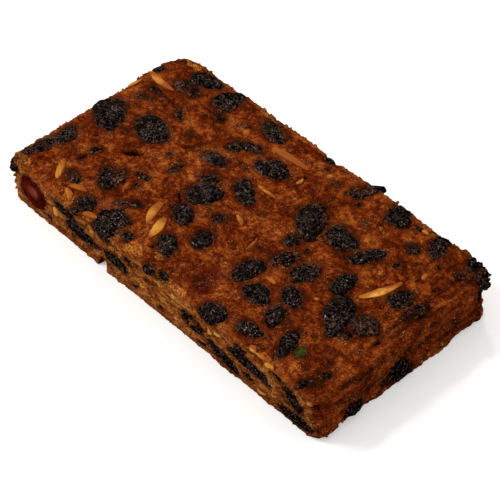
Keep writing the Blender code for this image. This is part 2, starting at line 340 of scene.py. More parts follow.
fruit = []
for number in range(1, 50):
    node = f"raisin_{number:02d}"
    raisin = copy_of_node(node, f"plump_{node}")
    cut = node in CUT_NODES
    if cut:
        _, centre = middle(raisin)
        for vert in raisin.data.vertices:
            vert.co.x = centre.x + CUT_LENGTH * (vert.co.x - centre.x)
            vert.co.z = centre.z + CUT_HEIGHT * (vert.co.z - centre.z)
    elif node in TORN:
        _, centre = middle(raisin)
        wide, deep, tall, shift, lift, spikes = TORN[node]
        for vert in raisin.data.vertices:
            off = vert.co - centre
            vert.co = centre + Vector((off.x * wide, off.y * deep, off.z * tall + lift * MM))
            vert.co.x += shift * MM
    else:
        across, back, up, swell = SHIFTED.get(node, (0, 0, 0, 1))
        fill_out(raisin, SHOULDER, SETTLE, SPREAD * swell)
        raisin.data.transform(Matrix.Translation(Vector((across, back, up)) * MM))
    grow(raisin, RAISIN_GROWTH)
    apply_modifier(raisin, "SUBSURF", levels=3, render_levels=3)
    wrinkle(raisin, number, CUT_WRINKLE if cut else TORN_WRINKLE if node in TORN else 1.0)
    if node in TORN:
        # Its skin has dried into spikes where it stands out of the slice.
        for vert in raisin.data.vertices:
            spike = max(0.0, noise.noise(vert.co / SPIKE_SPACING) - SPIKE_LEVEL) * spikes * MM
            vert.co += Vector((vert.normal.x, vert.normal.y, 0.5 * vert.normal.z)) * spike
    hold_cut_faces(raisin, node, 0.35 * MM)
    if node == "raisin_40":
        # The knife opened this one, and its hollow middle shows.
        half, centre = middle(raisin)
        for vert in raisin.data.vertices:
            off_x, off_z = vert.co.x - centre.x, vert.co.z - centre.z
            across = math.hypot(off_x / (HOLLOW_WIDTH * half.x), off_z / (HOLLOW_HEIGHT * half.z))
            if across < 1 and vert.co.y < centre.y:
                vert.co.y += HOLLOW_DEPTH * (1 - across ** 3)
    raisin.data.shade_smooth()
    batter_over(raisin, BATTERED.get(node, 0.0))
    raisin.data.materials.append(raisin_skin)
    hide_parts(node)
    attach(raisin, "root")
    fruit.append(raisin)


# ---- Slivered almonds
# Blanched almonds cut into sticks with flat faces, blunt at one end and pointed at the other. The
# ones at the surface have toasted to a deep gold, and the batter closes over their ends.

almond_flesh = new_material("toasted almond")
place = add_node(almond_flesh, "TexCoord").outputs["Object"]
cloud = add_node(almond_flesh, "TexNoise", {"Scale": 1 / (3.2 * MM), "Detail": 3.0}, Vector=place)
grain = add_node(almond_flesh, "TexNoise", {"Scale": 1 / (0.5 * MM), "Detail": 3.0}, Vector=place)
tone = add_node(
    almond_flesh, "ValToRGB", {"stops": [(0.34, "#A25C12"), (0.48, "#C8842C"), (0.62, "#E2A850")]},
    Fac=cloud,
)
cover = add_node(almond_flesh, "Attribute", {"attribute_name": "batter"}).outputs["Fac"]
scorch = add_node(
    almond_flesh, "Math", {"operation": "ADD"},
    f_0=add_node(almond_flesh, "MapRange", {"To Min": -0.25, "To Max": 0.25}, Value=grain),
    f_1=add_node(almond_flesh, "MapRange", {"To Min": -0.8, "To Max": 0.8}, Value=cloud),
)
toast = add_node(almond_flesh, "Math", {"operation": "MULTIPLY_ADD", 1: 2.2}, f_0=cover, f_2=scorch)
film = add_node(
    almond_flesh, "MapRange", {"From Min": 0.15, "From Max": 0.8, "To Max": 0.92}, Value=toast,
)
flesh = add_node(almond_flesh, "MixRGB", {"Color2": linear("#8A3E0C")}, Fac=film, Color1=tone)
relief = add_node(almond_flesh, "Bump", {"Strength": 0.5, "Distance": 0.1 * MM}, Height=grain)
surface = add_node(
    almond_flesh, "BsdfPrincipled", {"Roughness": 0.46, "IOR": 1.46, "Specular IOR Level": 0.06},
    Base_Color=flesh, Normal=relief,
)
add_node(almond_flesh, "OutputMaterial", {}, Surface=surface)

# How deep each sliver lies in the batter's brown glaze, from 0 to 1.
GLAZED = (0.02, 0.04, 0.18, 0.38, 0.18, 0.12)
# How much more of it lies on the end that dips under, and how much less on the other.
END_GLAZE, BARE = 0.45, 0.04


def whittle(far, side, tall, bend):
    """Turns a place on a ball into one on a stick: flat faces, one blunt end and one pointed."""
    side = math.copysign(abs(side) ** 0.75, side) * (1 - 0.35 * max(0.0, far))
    tall = math.copysign(abs(tall) ** 0.45, tall) * (0.86 - 0.16 * side)
    return far, side + bend * far * far, tall


# Which way each sliver lies, in degrees, and the share of its width and height that it keeps.
SLIVER_TURNS = (70, -72, -68, 4, -4, 6)
SLIVER_WIDTHS = (0.92, 0.85, 0.90, 0.90, 0.85, 0.75)
SLIVER_HEIGHTS = (0.95, 0.95, 0.95, 0.95, 0.95, 0.70)
SLIVER_GROWTH, SLIVER_BEND, SLIVER_WRINKLE = 0.1 * MM, 0.35, 0.30
# Which end of each sliver runs under the batter.
DIPPED = (1, -1, -1, 1, 1, 1)

for number in range(1, 7):
    node = f"almond_{number:02d}"
    sliver = copy_of_node(node, f"toasted_{node}")
    grow(sliver, SLIVER_GROWTH)
    apply_modifier(sliver, "SUBSURF", levels=3, render_levels=3)
    half, centre = middle(sliver)
    turn = math.radians(SLIVER_TURNS[number - 1])
    along = Vector((math.cos(turn), math.sin(turn), 0))
    across = Vector((-math.sin(turn), math.cos(turn), 0))
    reach = max((vert.co - centre).dot(along) for vert in sliver.data.vertices)
    wide = max((vert.co - centre).dot(across) for vert in sliver.data.vertices)
    for vert in sliver.data.vertices:
        off = vert.co - centre
        far, side, tall = off.dot(along) / reach, off.dot(across) / wide, off.z / half.z
        far, side, tall = whittle(far, side, tall, SLIVER_BEND if number % 2 else -SLIVER_BEND)
        vert.co = centre + along * far * reach + across * side * wide * SLIVER_WIDTHS[number - 1]
        vert.co.z = centre.z + tall * half.z * SLIVER_HEIGHTS[number - 1]
    wrinkle(sliver, 60 + number, SLIVER_WRINKLE)
    hold_cut_faces(sliver, node, 0.2 * MM)
    batter_over(sliver, GLAZED[number - 1])
    # The batter thickens towards one end.
    glaze = sliver.data.attributes["batter"].data
    for vert in sliver.data.vertices:
        far = (vert.co - centre).dot(along) / reach
        glaze[vert.index].value += END_GLAZE * max(0.0, far * DIPPED[number - 1]) - BARE
    sliver.data.shade_smooth()
    sliver.data.materials.append(almond_flesh)
    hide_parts(node)
    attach(sliver, "root")
    fruit.append(sliver)


# ---- Glace cherries and candied peel
# Cherries boiled in syrup, dark red; clear enough for light to sink in, though shaded here as opaque.
# The knife halved one and left a dimple where its stone was. The scrap of peel is dyed green.

cherry_flesh = new_material("candied cherry")
place = add_node(cherry_flesh, "TexCoord").outputs["Object"]
cloud = add_node(cherry_flesh, "TexNoise", {"Scale": 1 / (3.5 * MM), "Detail": 4.0}, Vector=place)
grain = add_node(cherry_flesh, "TexNoise", {"Scale": 1 / (0.8 * MM), "Detail": 3.0}, Vector=place)
tone = add_node(
    cherry_flesh, "ValToRGB", {"stops": [(0.3, "#260200"), (0.5, "#460600"), (0.7, "#661604")]},
    Fac=cloud,
)
# The hollow of the halved one is painted paler, as a painted highlight in the stone's dimple.
hollow = add_node(cherry_flesh, "Attribute", {"attribute_name": "hollow"}).outputs["Fac"]
flesh = add_node(cherry_flesh, "MixRGB", {"Color2": linear("#8A4428")}, Fac=hollow, Color1=tone)
relief = add_node(cherry_flesh, "Bump", {"Strength": 0.4, "Distance": 0.12 * MM}, Height=grain)
surface = add_node(
    cherry_flesh, "BsdfPrincipled",
    {
        "Roughness": 0.4, "IOR": 1.48, "Specular IOR Level": 0.05, "Coat Weight": 0.15,
        "Coat Roughness": 0.28,
    },
    Base_Color=flesh, Normal=relief, Coat_Normal=relief,
)
add_node(cherry_flesh, "OutputMaterial", {}, Surface=surface)

peel_flesh = new_material("green candied peel")
place = add_node(peel_flesh, "TexCoord").outputs["Object"]
grain = add_node(peel_flesh, "TexNoise", {"Scale": 1 / (1.1 * MM), "Detail": 3.0}, Vector=place)
tone = add_node(
    peel_flesh, "ValToRGB", {"stops": [(0.35, "#1A2002"), (0.5, "#2C3404"), (0.7, "#424A08")]},
    Fac=grain,
)
relief = add_node(peel_flesh, "Bump", {"Strength": 0.5, "Distance": 0.2 * MM}, Height=grain)
surface = add_node(
    peel_flesh, "BsdfPrincipled", {"Roughness": 0.5, "IOR": 1.48, "Specular IOR Level": 0.1},
    Base_Color=tone, Normal=relief,
)
add_node(peel_flesh, "OutputMaterial", {}, Surface=surface)

CANDIED_GROWTH, CANDIED_FILL = 0.2 * MM, (0.5, 0.62, 1.05)
PEEL_SHIFT = (-1.0 * MM, -1.1 * MM, 0)
# The dimple that the stone left: half its width, its depth, and how strong its painted highlight is.
STONE_REACH, STONE_DEPTH, STONE_HIGHLIGHT = 2.6 * MM, 1.2 * MM, 0.75

for node, finish, slot, strength in (
    ("cherry_half", cherry_flesh, "cherry", 0.12),
    ("cherry_sunk", cherry_flesh, "cherry", 0.6),
    ("peel_green", peel_flesh, "peel", 0.5),
):
    candied = copy_of_node(node, f"candied_{node}")
    if node != "cherry_half":
        fill_out(candied, *CANDIED_FILL)
    if node == "peel_green":
        candied.data.transform(Matrix.Translation(PEEL_SHIFT))
    grow(candied, CANDIED_GROWTH)
    apply_modifier(candied, "SUBSURF", levels=3, render_levels=3)
    wrinkle(candied, 70, strength)
    hold_cut_faces(candied, node, 0.3 * MM)
    if node == "cherry_half":
        _, centre = middle(candied)
        layer = candied.data.attributes.new("hollow", "FLOAT", "POINT")
        for vert in candied.data.vertices:
            across = math.hypot(vert.co.x - centre.x, vert.co.z - centre.z) / STONE_REACH
            if across < 1 and vert.co.y < centre.y:
                vert.co.y += STONE_DEPTH * (1 - across ** 2) ** 2
                layer.data[vert.index].value = STONE_HIGHLIGHT * (1 - across ** 2)
    candied.data.shade_smooth()
    candied.data.materials.append(finish)
    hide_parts(node)
    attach(candied, "root")
    fruit.append(candied)


# ---- Small fruit and nuts
# Bits of raisin, almond and cherry too small to stand out, pressed into the skin and the sides.
# Each bit is a small squashed and wrinkled ball of its own, and each kind is one joined mesh.

# On the baked top, in millimetres: x, y, length, width, turn in degrees.
BITS_OF_RAISIN = (
    (-36.8, 24.5, 4, 3, 20), (-61.8, 18.0, 5, 2.4, 10), (-62.5, 12.2, 4.5, 4, 0),
    (-47.5, 15.5, 6, 3, -40), (-16.0, -33.3, 4.5, 4, 80), (-3.0, -7.0, 4, 4, 0),
    (-33.0, -12.3, 5, 3, 15), (-53.0, -15.3, 4, 3, 70), (-31.5, -16.3, 3, 3, 0),
    (-35.0, 0.7, 2.4, 1.4, 0), (2.2, 36.0, 4.5, 3, 0), (42.7, 35.0, 3, 2, 0), (65.5, 29.5, 3, 2, 30),
    (48.0, 26.7, 4, 4, 0), (64.8, -28.0, 3, 2.2, 20), (62.5, -34.6, 5, 2.6, 80), (3.5, -36.0, 5, 3, 0),
    (25.3, 3.2, 2.6, 2, 0), (22.2, 28.5, 2, 2, 0), (5.0, 32.0, 2.5, 1.6, 0), (49.0, 18.0, 3, 2.2, 60),
    (-28.8, -2.3, 6, 4, 80), (-48.8, -28.0, 6.5, 4.6, -10), (-18.5, 2.5, 8, 5.6, 20),
    (-18.5, 22.7, 9, 4.6, 10), (-23.0, 19.0, 7, 5.0, 60), (19.0, 2.2, 7, 4.8, 90),
    (-69.0, 25.7, 5, 3.5, 90), (-66.6, -25.2, 11, 5.6, 80), (-67.4, -31.0, 5, 3.4, 70),
    (-27.0, -23.6, 9, 3.6, 35), (58.0, -12.5, 4, 3, 0), (-2.0, -37.4, 5, 3, 0),
    (-37.0, -37.4, 4, 2.6, 0),
)
BITS_OF_ALMOND = (
    (-69.0, 15.5, 6, 1.8, 85), (-1.2, 11.6, 8, 2.0, 0), (-34.0, -19.3, 6, 2.3, -60),
    (-54.3, -28.8, 9, 2.6, -55), (-43.5, -29.8, 7, 2.6, 20), (-43.5, -34.3, 6, 2.6, -30),
    (-32.0, -35.3, 5, 2.6, 20), (-12.5, -33.8, 3.0, 1.6, 30), (-44.0, -13.8, 3, 1.5, 40),
    (-12.5, 26.2, 3, 1.8, 0), (36.0, 25.2, 5.5, 2, -30), (12.2, -7.8, 8, 1.6, -78),
    (2.0, -3.0, 4.5, 2, -25), (27.2, -30.3, 7, 1.1, -85), (3.0, 22.2, 3.5, 2, 90),
    (57.7, 20.7, 4, 2, -70), (42.0, -9.3, 1.8, 1.5, 0), (26.5, -13.3, 4, 1.8, 0),
    (51.0, -37.2, 3, 1.8, 0), (45.0, 35.0, 3, 2, 0),
)
BITS_OF_CHERRY = ((62.0, -24.4, 3.5, 1.8, 60), (-54.0, -20.8, 5, 1.6, 90), (15.5, -31.0, 3.5, 1.8, 20))
# On the sides, in millimetres: place along the side, height, length, height of the face, tilt.
FRONT_RAISINS = (
    (-27.0, 7.5, 4.5, 2.4, 0), (-12.0, 12.6, 3.5, 2, 0), (-2.4, 11.0, 3.6, 1.6, 0),
    (38.5, 14.0, 6, 2.2, 8), (49.0, 7.8, 6, 2.4, -5), (42.0, 4.2, 5, 2.6, 0), (54.5, 14.4, 7, 2.4, -8),
    (22.0, 2.4, 4, 1.6, 0), (3.0, 3.5, 2.5, 1.2, 0), (-51.0, 3.0, 3, 1.6, 0), (-9.0, 3.4, 3, 1.4, 10),
)
FRONT_ALMONDS = (
    (-47.5, 8.2, 3, 4.6, 0), (-6.0, 6.0, 4, 2.8, 10), (25.0, 10.4, 3, 3.8, 0), (28.6, 12.0, 3, 1.8, 0),
    (47.5, 1.6, 4, 2.4, 0), (-30.0, 13.8, 3.5, 1.6, 0), (9.0, 13.5, 3, 1.4, -20),
)
BACK_RAISINS = (
    (-58.0, 9.0, 12, 4.0, 14), (-44.0, 4.2, 7, 3.2, -10), (-36.0, 8.6, 10, 2.6, 4),
    (-22.5, 10.8, 6, 5.4, 20), (-17.0, 5.0, 9, 3.0, -14), (-3.0, 8.0, 14, 3.4, 6),
    (9.5, 12.4, 7, 2.4, -8), (15.5, 4.6, 6, 4.6, 30), (27.0, 7.6, 13, 4.4, -6),
    (40.5, 11.6, 7, 2.8, 12), (44.0, 4.0, 9, 2.6, -4), (55.5, 8.6, 6, 5.2, 35), (63.0, 12.2, 7, 2.6, 0),
    (-49.0, 13.4, 5, 1.8, 0), (3.0, 2.6, 6, 1.6, 0), (33.0, 13.8, 4, 1.6, 0), (-60.0, 3.2, 4, 2.4, 0),
    (-28.0, 2.2, 5, 1.4, 0), (51.0, 13.9, 4, 1.4, 10), (60.0, 3.0, 6, 1.8, 8),
)
BACK_ALMONDS = (
    (-30.0, 10.2, 4, 2.6, 0), (-10.0, 12.2, 6, 2.0, 12), (15.0, 8.8, 3, 4.0, 0),
    (45.5, 13.2, 5, 2.2, -8), (-61.0, 13.4, 4, 2.0, 0), (31.5, 2.4, 4, 2.0, 0), (58.0, 7.6, 3, 2.6, 0),
)
LEFT_RAISINS = (
    (-25.0, 6.2, 10, 3.4, 12), (-12.5, 10.4, 5, 4.6, -30), (-6.0, 4.0, 11, 2.8, -6),
    (7.0, 9.4, 9, 4.4, 10), (14.5, 3.6, 6, 2.2, 0), (20.5, 8.2, 7, 5.0, 24), (28.0, 12.2, 5, 2.4, -10),
    (-31.5, 11.6, 4, 2.6, 0), (0.0, 13.2, 5, 1.6, 6), (-18.0, 2.0, 4, 1.4, 0),
)
END_RAISINS = (
    (33.6, 9.0, 2.6, 7.0, 0), (-8.8, 2.6, 3.6, 3.2, 0), (10.2, 13.6, 9.0, 2.0, 4),
    (1.0, 8.4, 3.0, 2.0, 0), (-27.0, 9.8, 2.0, 1.2, 0), (22.0, 6.0, 2.6, 1.6, 0),
)
LEFT_ALMONDS = ((-16.0, 10.0, 5, 2.2, 12), (12.0, 12.6, 4, 2.0, 0), (22.0, 2.6, 4, 1.8, 0))
# How thick a bit is on each side, and how far inside the side its middle lies.
LEFT_BIT, LEFT_DEPTH, END_DEPTH = 2.4 * MM, 0.4 * MM, 0.9 * MM
LONG_BIT, LONG_DEPTH = 2.6 * MM, 0.9 * MM
# Wrinkles are at their full depth on bits of this size. Bits in the top swelled by a share.
FULL_WRINKLE, TOP_SWELL = 2.4 * MM, 1.12
BIT_SEED = 100


def joined(pieces, name):
    """Joins pieces into the first of them, and names it."""
    bpy.ops.object.select_all(action="DESELECT")
    for piece in pieces:
        piece.select_set(True)
    bpy.context.view_layer.objects.active = pieces[0]
    bpy.ops.object.join()
    pieces[0].name = name
    return pieces[0]


def joined_bits(name, places, seed):
    """One mesh of many bits. A place is a centre, a size and a turn, all in the slice's frame."""
    bits = []
    for index, (centre, size, turn) in enumerate(places):
        bpy.ops.object.select_all(action="DESELECT")
        bpy.ops.mesh.primitive_uv_sphere_add(segments=16, ring_count=10, radius=0.5, location=(0, 0, 0))
        bit = bpy.context.object
        if name == "almond_bits":
            for vert in bit.data.vertices:
                far, side, tall = whittle(*(2 * vert.co), 0.4 * math.sin(index))
                vert.co = Vector((far * (1 - 0.12 * side), 0.88 * side, tall)) / 2
        bit.data.transform(Matrix.Diagonal((*size, 1)))
        bit.data.transform(Matrix.Translation(centre) @ turn)
        wrinkle(bit, seed + index, min(1.0, min(size) / FULL_WRINKLE))
        bits.append(bit)
    whole = joined(bits, name)
    whole.data.shade_smooth()
    return whole


def on_top(rows, proud, thick):
    """Places on the baked top, from rows of x, y, length, width and turn."""
    for x, y, length, width, turn in rows:
        rise = skin_height(x * MM, y * MM) + proud - thick / 2
        size = (length * MM * TOP_SWELL, width * MM * TOP_SWELL, thick)
        centre = Vector((x * MM, y * MM, rise)) + SHIFT
        yield centre, size, Matrix.Rotation(math.radians(turn), 4, "Z")


def on_side(rows, side):
    """Places on a side, from rows of distance along it, height, length, face height and tilt."""
    for along, height, length, face, tilt in rows:
        if side in ("left", "end"):
            x = -HALF_LENGTH + LEFT_DEPTH if side == "left" else HALF_LENGTH - END_DEPTH
            centre = Vector((x, along * MM, height * MM))
            size = (LEFT_BIT, length * MM, face * MM)
            turn = Matrix.Rotation(math.radians(tilt), 4, "X")
        else:
            out = -1 if side == "front" else 1
            centre = Vector((along * MM, out * (HALF_WIDTH - LONG_DEPTH), height * MM))
            size = (length * MM, LONG_BIT, face * MM)
            turn = Matrix.Rotation(math.radians(-tilt), 4, "Y")
        yield centre + SHIFT, size, turn


raisin_places = list(on_top(BITS_OF_RAISIN, proud=0.35 * MM, thick=2.4 * MM))
for rows, side in (
    (FRONT_RAISINS, "front"), (BACK_RAISINS, "back"), (LEFT_RAISINS, "left"), (END_RAISINS, "end"),
):
    raisin_places += list(on_side(rows, side))
almond_places = list(on_top(BITS_OF_ALMOND, proud=0.38 * MM, thick=1.7 * MM))
for rows, side in ((FRONT_ALMONDS, "front"), (BACK_ALMONDS, "back"), (LEFT_ALMONDS, "left")):
    almond_places += list(on_side(rows, side))

cherry_places = list(on_top(BITS_OF_CHERRY, proud=0.12 * MM, thick=2.0 * MM))

for name, places, finish, slot, batter in (
    ("raisin_bits", raisin_places, raisin_skin, "raisin", 0.10),
    ("almond_bits", almond_places, almond_flesh, "almond", 0.13),
    ("cherry_bits", cherry_places, cherry_flesh, "cherry", 0.10),
):
    bits = joined_bits(name, places, BIT_SEED)
    batter_over(bits, batter)
    bits.data.materials.append(finish)
    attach(bits, "root")
    fruit.append(bits)


# ---- The cake
# A close, dark, treacly crumb bound round the fruit. The top baked to an oily brown skin, the
# right end and the base baked against the tin, and the other sides are knife cuts.

# The rounded corners in plan: which end, which side, radius.
CORNERS = ((-1, 1, 9 * MM), (-1, -1, 4 * MM), (1, 1, 5 * MM), (1, -1, 2.5 * MM))
# The baked end in profile, in millimetres: height, how far it stands out.
BAKED_END = (
    (0.0, 1.4), (2.5, 1.8), (7.0, 0.4), (11.5, 0.2), (13.2, -1.2), (14.6, 1.0), (16.0, 0.4),
    (17.0, -1.8),
)
# Where crumbs broke off the rims, in millimetres: the middle of the bite and its half sizes.
LOST_CRUMBS = (
    (-24.6, -37.5, 0.6, 1.9, 4.5, 4.4), (71.0, -29.5, 0.0, 4.0, 3.4, 2.7),
    (3.0, 38.6, 16.6, 4.0, 2.4, 3.0),
)
# Ridges across the top near the baked end, in millimetres from the middle.
END_RIDGES = (60.5, 64.0, 66.6, 68.8)
RIDGE_HEIGHT, RIDGE_WIDTH = 0.35, 0.7
# How far the folds of the baked end stand out, on its face and on the top, and where they begin.
STRATA_OUT, STRATA_UP, STRATA_START, STRATA_FULL = 0.9 * MM, 0.75, 57, 65
# How far the top sags towards the baked end and at the cut rims, in millimetres.
END_SAG, RIM_SAG = 1.3, 0.7
# Pits go down, and sunk nuts and fruit lift the skin, in millimetres.
PIT_DEPTH, NUT_LIFT, FRUIT_LIFT = 1.5, 0.35, 0.2
CLEFT_HEIGHT = 12.9
# How far in from the baked end it bulges, and how wide the rim of a cut side is in millimetres.
BAKED_REACH, RIM_WIDTH, ON_FACE = 4.8 * MM, 2.2, 0.01 * MM
# In each of the tables that follow: x, y, length and width in millimetres, turn in degrees.
# Slits and pits in the skin.
PITS = (
    (-44.0, -7.5, 9.0, 2.8, 40), (-19.0, -9.6, 7.0, 1.3, -35), (-8.0, -31.0, 2.2, 1.6, 0),
    (66.8, -8.5, 3.2, 1.6, 75), (2.7, 24.7, 1.6, 1.4, 0), (44.0, -9.0, 2.4, 1.4, 20),
    (-27.0, 28.5, 1.8, 1.2, 0), (9.5, -12.5, 2.0, 1.2, 60), (58.0, 27.0, 2.4, 1.3, -30),
    (-58.0, -10.5, 2.0, 1.3, 10),
)
# Dark fruit seen through the skin.
SUNK_FRUIT = (
    (-37.5, 11.5, 8, 5, -50), (-55.0, 27.0, 11, 7, 0), (-23.0, 19.5, 9, 7, 60), (-60.0, 14.0, 8, 5, 10),
    (59.5, -5.0, 11, 8, 0), (51.0, -5.5, 10, 8, -60), (19.0, 3.0, 9, 6, 90), (-50.0, -28.0, 8, 6, -10),
    (11.0, 29.5, 8, 5, 0), (62.5, 30.0, 6, 3, -20), (-28.0, -24.0, 12, 5, 35), (46.0, 27.0, 7, 6, 0),
    (57.0, -14.0, 8, 5, 20), (-3.0, -8.0, 7, 6, 0), (-66.0, -21.0, 10, 6, 80), (64.0, -32.0, 9, 6, 60),
    (5.0, 3.0, 6, 4, 20), (-29.0, 27.0, 6, 4, 40), (30.0, 24.0, 7, 4, -20), (-15.0, 14.0, 6, 4, 0),
)
# Cherries that stain the skin red.
SUNK_CHERRIES = ((13.0, -25.5, 12, 9, 0), (61.5, -24.0, 9, 5, 60), (-53.0, -19.5, 8, 4, 90))
# Torn skin, where the paler crumb under it shows.
TORN_SKIN = (
    (-10.7, -36.0, 8, 6, 20), (-31.9, -35.6, 7, 3.5, -10), (-42.8, -35.6, 7, 4.5, -30),
    (-69.5, 15.7, 9, 3.5, 85), (-61.8, 35.6, 9, 3.0, 0), (44.4, 36.4, 6, 2.4, 0),
    (-65.5, -35.5, 7, 5, 40), (8.0, -36.6, 14, 3.5, 5), (-26.0, 36.6, 8, 2.4, 0),
    (28.0, -36.8, 6, 2.4, 0), (-3.5, -31.5, 3, 3, 0), (-68.5, -35.0, 6, 4, 80),
)
# Pale nuts that lift the skin.
SUNK_NUTS = (
    (-47.5, 23.2, 7, 6, 0), (-43.5, 16.4, 5, 4, 0), (-39.0, -3.0, 8, 5, 30), (-11.0, -34.5, 6, 6, 0),
    (35.5, 21.0, 8, 4, -30), (45.0, 9.0, 6, 4, 0), (62.0, 17.0, 8, 5, -60), (7.0, -22.0, 7, 5, 40),
    (-30.0, -30.0, 6, 4, 0), (25.0, 20.5, 5, 4, 0), (55.0, 22.0, 6, 4, 0), (-2.0, 31.5, 7, 4, 10),
    (9.0, 6.0, 6, 4, -30), (-60.0, -32.5, 7, 4, 10), (33.0, -28.0, 7, 4, 20), (60.0, -18.0, 7, 4, 0),
)


def step(low, high, value):
    """A smooth rise from 0 to 1 as the value goes from low to high."""
    share = max(0.0, min(1.0, (value - low) / (high - low)))
    return share * share * (3 - 2 * share)


def within(rows, x, y):
    """1 in the middle of any of the rows' ovals, falling to 0 at their rims."""
    most = 0.0
    for row_x, row_y, length, width, turn in rows:
        off_x, off_y = x - row_x, y - row_y
        if abs(off_x) > length or abs(off_y) > length:
            continue
        c, s = math.cos(math.radians(turn)), math.sin(math.radians(turn))
        along, across = off_x * c + off_y * s, off_y * c - off_x * s
        far = math.hypot(along / (length / 2), across / (width / 2))
        most = max(most, 1 - far)
    return most


def frayed(rows, here, reach, spacing):
    """How far inside the rows' ovals a place is, with their outlines frayed by noise."""
    off_x = reach * noise.noise(here / spacing)
    return within(rows, here.x + off_x, here.y + reach * noise.noise(-here / spacing))


def layered(here, *layers):
    """Noise of several spacings in millimetres, each with its own height."""
    return sum(height * noise.noise(here / spacing) for spacing, height in layers)


def outset(z):
    """How far the baked end stands out at a height, in metres."""
    for (low, first), (high, second) in zip(BAKED_END, BAKED_END[1:]):
        if z <= high * MM:
            return (first + (second - first) * max(0.0, (z / MM - low) / (high - low))) * MM
    return BAKED_END[-1][1] * MM


# The block is cut into squares, and each square into a fine grid.
BLOCKS_LONG, BLOCKS_WIDE, CRUMB_CUTS = 8, 4, 28

bpy.ops.object.select_all(action="DESELECT")
bpy.ops.mesh.primitive_cube_add(
    size=1, location=(0, 0, TOP / 2), scale=(2 * HALF_LENGTH, 2 * HALF_WIDTH, TOP)
)
crumb = bpy.context.object
crumb.name = "crumb"
bpy.ops.object.transform_apply(location=True, rotation=True, scale=True)
bpy.ops.object.mode_set(mode="EDIT")
for count, side, axis in ((BLOCKS_LONG, HALF_LENGTH, (1, 0, 0)), (BLOCKS_WIDE, HALF_WIDTH, (0, 1, 0))):
    for cut in range(1, count):
        bpy.ops.mesh.select_all(action="SELECT")
        place = Vector(axis) * (-side + 2 * side * cut / count)
        bpy.ops.mesh.bisect(plane_co=place, plane_no=axis)
bpy.ops.mesh.select_all(action="SELECT")
bpy.ops.mesh.subdivide(number_cuts=CRUMB_CUTS)
bpy.ops.object.mode_set(mode="OBJECT")

# How readily batter covers a fruit, against the rest: below nought it is kept bare.
BURIED = {
    "plump_raisin_02": 0.22, "plump_raisin_05": -0.20, "plump_raisin_08": 0.20,
    "plump_raisin_12": 0.12, "plump_raisin_16": -0.15, "plump_raisin_19": -0.10,
    "plump_raisin_20": -0.20, "plump_raisin_24": 0.20, "plump_raisin_25": 0.20,
    "plump_raisin_28": -0.15, "plump_raisin_29": 0.10, "plump_raisin_33": 0.04,
    "plump_raisin_46": -0.30, "toasted_almond_06": 0.18, "candied_cherry_sunk": 0.30,
    "raisin_bits": 0.10, "almond_bits": 0.08, "cherry_bits": 0.08,
}
COVERED = 0.26
# How far under the surface fruit still shows, in millimetres: in the baked end, in a cut side.
SHOWS_IN_END, SHOWS_IN_CUT = -2.8, -1.4

# The crumb closes round the fruit, so all of the fruit's surface is looked up as one.
corners, faces, owners = [], [], []
for piece in fruit:
    start = len(corners)
    corners += [vert.co.copy() for vert in piece.data.vertices]
    faces += [[start + i for i in face.vertices] for face in piece.data.polygons]
    owners += [piece.name] * len(piece.data.polygons)
fruit_surface = BVHTree.FromPolygons(corners, faces)

